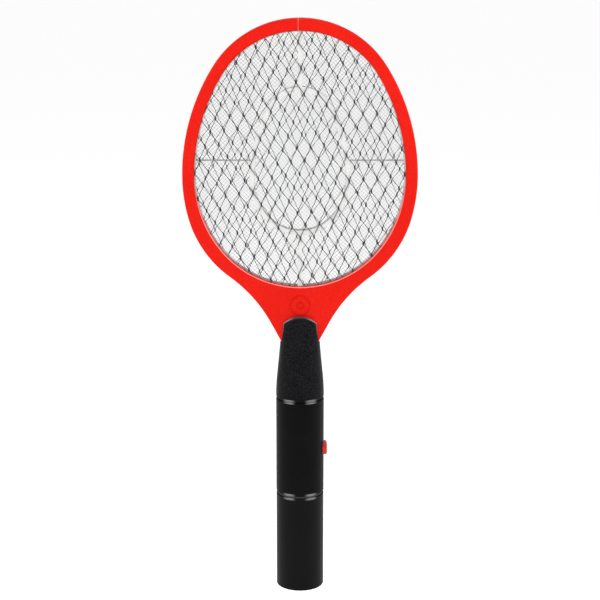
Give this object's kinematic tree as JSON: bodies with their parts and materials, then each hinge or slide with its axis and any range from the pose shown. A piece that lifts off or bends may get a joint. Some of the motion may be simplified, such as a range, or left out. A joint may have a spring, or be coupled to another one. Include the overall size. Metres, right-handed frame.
{
  "type": "electric fly swatter",
  "caption": "Battery racket for flying insects: an egg-shaped head with three metal nets on a round handle with a push button and a pull-off battery cap.",
  "frame": {"origin": "middle of the flat bottom face of the handle", "axes": "+Z from the handle's bottom up to the head, -Y out of the front, +X out of the side with the push button"},
  "size_m": [0.179, 0.0376, 0.45],
  "materials": {
    "frame_red": "satin moulded",
    "net_metal": "bare expanded metal",
    "centre_net_metal": "fine bare wire",
    "spacer_plastic": "natural white",
    "handle_black": "spark-eroded texture",
    "cap_black": "fine satin",
    "cradle_black": "plain moulded",
    "button_red": "glossy",
    "screw_steel": "zinc plated",
    "contact_nickel": "nickel plated",
    "cell_wrap": "printed film with a plain band",
    "wire_red": "smooth",
    "wire_black": "smooth",
    "board_green": "solder mask",
    "ferrite": "dull",
    "bobbin_plastic": "moulded",
    "winding_tape": "yellow tape over copper wire",
    "capacitor_film": "dipped",
    "capacitor_disc": "dipped",
    "diode_black": "moulded",
    "resistor_tan": "banded",
    "lamp_red": "clear tinted"
  },
  "bodies": {
    "racket": {"head_front_frame": "frame_red", "head_back_frame": "frame_red", "front_net": "net_metal", "centre_net": "centre_net_metal", "rear_net": "net_metal", "front_spacer": "spacer_plastic", "rear_spacer": "spacer_plastic", "head_screws": "screw_steel", "centre_net_wire": "wire_red", "outer_net_wire": "wire_black", "net_link_wire": "wire_black", "handle_front_shell": "handle_black", "handle_back_shell": "handle_black", "handle_screws": "screw_steel", "battery_cradle": "cradle_black", "battery_left": "cell_wrap", "battery_right": "cell_wrap", "bridge_contact": "contact_nickel", "spring_contact": "contact_nickel", "flat_contact": "contact_nickel", "battery_lead_red": "wire_red", "battery_lead_black": "wire_black", "circuit_board": "board_green", "board_screws": "screw_steel", "transformer_core": "ferrite", "transformer_bobbin": "bobbin_plastic", "transformer_winding": "winding_tape", "film_capacitor": "capacitor_film", "disc_capacitors": "capacitor_disc", "rectifier_diodes": "diode_black", "resistors": "resistor_tan", "oscillator_transistor": "diode_black", "indicator_led": "lamp_red", "switch_body": "bobbin_plastic"},
    "button": {"switch_button": "button_red", "switch_plunger": "bobbin_plastic"},
    "cap": {"battery_cap": "cap_black"}
  },
  "joints": [
    {"name": "button_press", "type": "slide", "parent": "racket", "child": "button", "axis": [-1, 0, 0], "range_m": [0, 0.0015], "stiffness_N_per_m": 1200, "springref_m": -0.0006},
    {"name": "cap_pull", "type": "slide", "parent": "racket", "child": "cap", "axis": [0, 0, -1], "range_m": [0, 0.078]}
  ]
}
